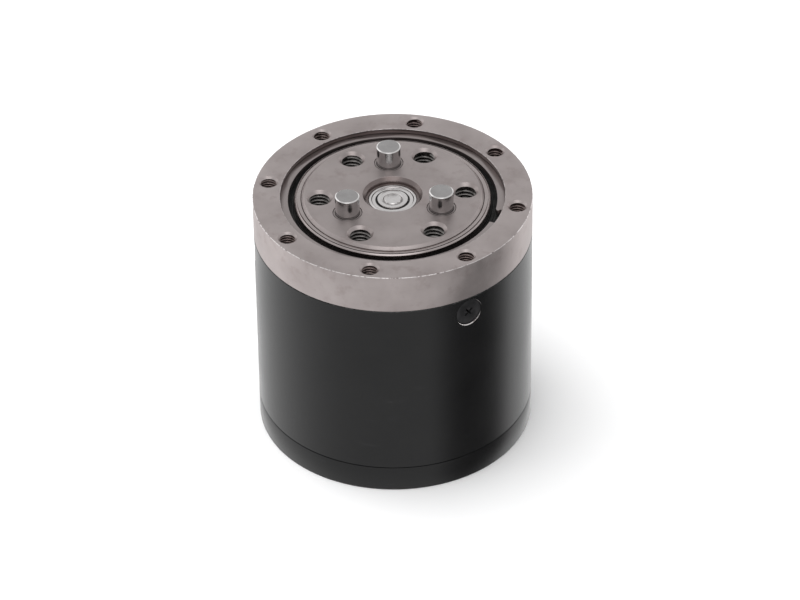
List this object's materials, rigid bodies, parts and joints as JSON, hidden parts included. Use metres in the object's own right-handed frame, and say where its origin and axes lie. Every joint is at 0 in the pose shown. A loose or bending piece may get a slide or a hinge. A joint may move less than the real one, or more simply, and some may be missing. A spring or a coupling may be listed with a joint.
{
  "type": "planetary gearbox",
  "caption": "Compact cylindrical planetary gearbox with a steel output flange, a flush output carrier with drive pins and tapped holes, and a black sleeve.",
  "frame": {"origin": "centre of the motor mounting face, at the bottom of the housing", "axes": "+Z along the gearbox axis towards the output side; +X through one tapped hole of the output flange"},
  "size_m": [0.046, 0.046, 0.0473],
  "materials": {
    "satin_steel": "satin, fine turned grain, warm grey",
    "ground_steel": "ground dowel pin, semi-bright",
    "bearing_steel": "ground and lapped bearing steel",
    "gear_steel": "cut and hardened gear steel",
    "bronze": "sintered bronze bush",
    "black_anodised": "black anodised, satin",
    "black_screw": "black oxide",
    "seal_rubber": "matt moulded rubber"
  },
  "bodies": {
    "housing": {"output_flange": "satin_steel", "housing_sleeve": "black_anodised", "ring_gear": "gear_steel", "motor_adapter": "black_anodised", "retaining_ring": "satin_steel", "output_seal": "seal_rubber", "main_bearing_outer_race": "bearing_steel", "input_bearing_outer_race": "bearing_steel", "radial_screw_1": "black_screw", "radial_screw_2": "black_screw", "radial_screw_3": "black_screw", "adapter_screw_1": "black_screw", "adapter_screw_2": "black_screw", "adapter_screw_3": "black_screw", "adapter_screw_4": "black_screw"},
    "output_carrier": {"output_carrier": "satin_steel", "carrier_rear_plate": "satin_steel", "seal_sleeve": "satin_steel", "main_bearing_inner_race": "bearing_steel", "centre_bearing_outer_race": "bearing_steel", "centre_bearing_shield": "bearing_steel", "output_pin_1": "ground_steel", "output_pin_2": "ground_steel", "output_pin_3": "ground_steel", "pin_collar_1": "ground_steel", "pin_collar_2": "ground_steel", "pin_collar_3": "ground_steel", "rear_plate_screw_1": "black_screw", "rear_plate_screw_2": "black_screw", "rear_plate_screw_3": "black_screw"},
    "middle_carrier": {"middle_carrier": "satin_steel", "middle_sun_gear": "gear_steel", "centre_bearing_inner_race": "bearing_steel", "input_pin_1": "ground_steel", "input_pin_2": "ground_steel", "input_pin_3": "ground_steel"},
    "input_sun": {"input_sun_gear": "gear_steel", "input_bearing_inner_race": "bearing_steel"},
    "output_planet_1": {"output_planet_1": "gear_steel", "output_planet_bush_1": "bronze"},
    "input_planet_1": {"input_planet_1": "gear_steel", "input_planet_bush_1": "bronze"},
    "output_planet_2": {"output_planet_2": "gear_steel", "output_planet_bush_2": "bronze"},
    "input_planet_2": {"input_planet_2": "gear_steel", "input_planet_bush_2": "bronze"},
    "output_planet_3": {"output_planet_3": "gear_steel", "output_planet_bush_3": "bronze"},
    "input_planet_3": {"input_planet_3": "gear_steel", "input_planet_bush_3": "bronze"},
    "main_bearing_cage": {"main_bearing_balls": "bearing_steel"},
    "centre_bearing_cage": {"centre_bearing_balls": "bearing_steel"},
    "input_bearing_cage": {"input_bearing_balls": "bearing_steel"}
  },
  "joints": [
    {"name": "output_spin", "type": "hinge", "parent": "housing", "child": "output_carrier", "pos_m": [0, 0, 0.038], "axis": [0, 0, 1], "continuous": true},
    {"name": "middle_spin", "type": "hinge", "parent": "housing", "child": "middle_carrier", "pos_m": [0, 0, 0.018], "axis": [0, 0, 1], "continuous": true},
    {"name": "input_spin", "type": "hinge", "parent": "housing", "child": "input_sun", "pos_m": [0, 0, 0.0055], "axis": [0, 0, 1], "continuous": true},
    {"name": "output_planet_spin_1", "type": "hinge", "parent": "output_carrier", "child": "output_planet_1", "pos_m": [-0.00219, 0.0086, 0.0263], "axis": [0, 0, 1], "continuous": true},
    {"name": "output_planet_spin_2", "type": "hinge", "parent": "output_carrier", "child": "output_planet_2", "pos_m": [-0.00636, -0.0062, 0.0263], "axis": [0, 0, 1], "continuous": true},
    {"name": "output_planet_spin_3", "type": "hinge", "parent": "output_carrier", "child": "output_planet_3", "pos_m": [0.00855, -0.0024, 0.0263], "axis": [0, 0, 1], "continuous": true},
    {"name": "input_planet_spin_1", "type": "hinge", "parent": "middle_carrier", "child": "input_planet_1", "pos_m": [0.00636, 0.0062, 0.0131], "axis": [0, 0, 1], "continuous": true},
    {"name": "input_planet_spin_2", "type": "hinge", "parent": "middle_carrier", "child": "input_planet_2", "pos_m": [-0.00855, 0.0024, 0.0131], "axis": [0, 0, 1], "continuous": true},
    {"name": "input_planet_spin_3", "type": "hinge", "parent": "middle_carrier", "child": "input_planet_3", "pos_m": [0.00219, -0.0086, 0.0131], "axis": [0, 0, 1], "continuous": true},
    {"name": "main_bearing_cage_spin", "type": "hinge", "parent": "housing", "child": "main_bearing_cage", "pos_m": [0, 0, 0.038], "axis": [0, 0, 1], "continuous": true},
    {"name": "centre_bearing_cage_spin", "type": "hinge", "parent": "output_carrier", "child": "centre_bearing_cage", "pos_m": [0, 0, 0.04105], "axis": [0, 0, 1], "continuous": true},
    {"name": "input_bearing_cage_spin", "type": "hinge", "parent": "housing", "child": "input_bearing_cage", "pos_m": [0, 0, 0.0055], "axis": [0, 0, 1], "continuous": true}
  ],
  "couplings": [
    {"joint": "middle_spin", "follows": "output_spin", "ratio": 5},
    {"joint": "input_spin", "follows": "output_spin", "ratio": 25},
    {"joint": "output_planet_spin_1", "follows": "output_spin", "ratio": -2.6667},
    {"joint": "output_planet_spin_2", "follows": "output_spin", "ratio": -2.6667},
    {"joint": "output_planet_spin_3", "follows": "output_spin", "ratio": -2.6667},
    {"joint": "input_planet_spin_1", "follows": "output_spin", "ratio": -13.333},
    {"joint": "input_planet_spin_2", "follows": "output_spin", "ratio": -13.333},
    {"joint": "input_planet_spin_3", "follows": "output_spin", "ratio": -13.333},
    {"joint": "main_bearing_cage_spin", "follows": "output_spin", "ratio": 0.476},
    {"joint": "centre_bearing_cage_spin", "follows": "output_spin", "ratio": 1.7},
    {"joint": "input_bearing_cage_spin", "follows": "output_spin", "ratio": 11.15}
  ]
}
